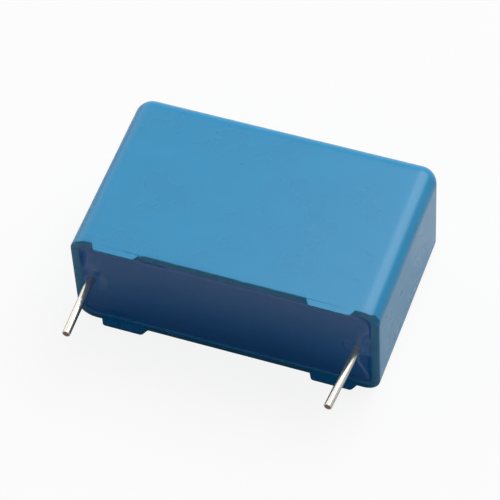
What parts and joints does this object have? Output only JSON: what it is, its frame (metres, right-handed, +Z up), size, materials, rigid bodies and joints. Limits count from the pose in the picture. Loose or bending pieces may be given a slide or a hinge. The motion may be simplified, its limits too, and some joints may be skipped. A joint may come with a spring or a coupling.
{
  "type": "box film capacitor",
  "caption": "Radial film capacitor in a moulded plastic box: film winding with sprayed metal ends, potted with dark resin, with wire leads and standoff feet for a circuit board.",
  "frame": {"origin": "middle of the part's outline, leads included, in the surface that the case lies on", "axes": "+X along the case from the left lead to the right lead, +Y from the leads to the closed end, +Z up through the case's thickness"},
  "size_m": [0.0316, 0.027, 0.0122],
  "materials": {
    "case_plastic": "moulded, satin gloss",
    "potting_resin": "cast, glossy",
    "metallised_film": "wound, silvery",
    "plain_film": "clear film, wrapped",
    "sprayed_zinc": "sprayed, rough and dull",
    "tinned_wire": "tinned, bright, dulled by handling"
  },
  "bodies": {
    "root": {"case": "case_plastic", "potting_resin": "potting_resin", "film_winding": "metallised_film", "cover_film": "plain_film", "end_spray_left": "sprayed_zinc", "end_spray_right": "sprayed_zinc", "lead_left": "tinned_wire", "lead_right": "tinned_wire"}
  },
  "joints": []
}
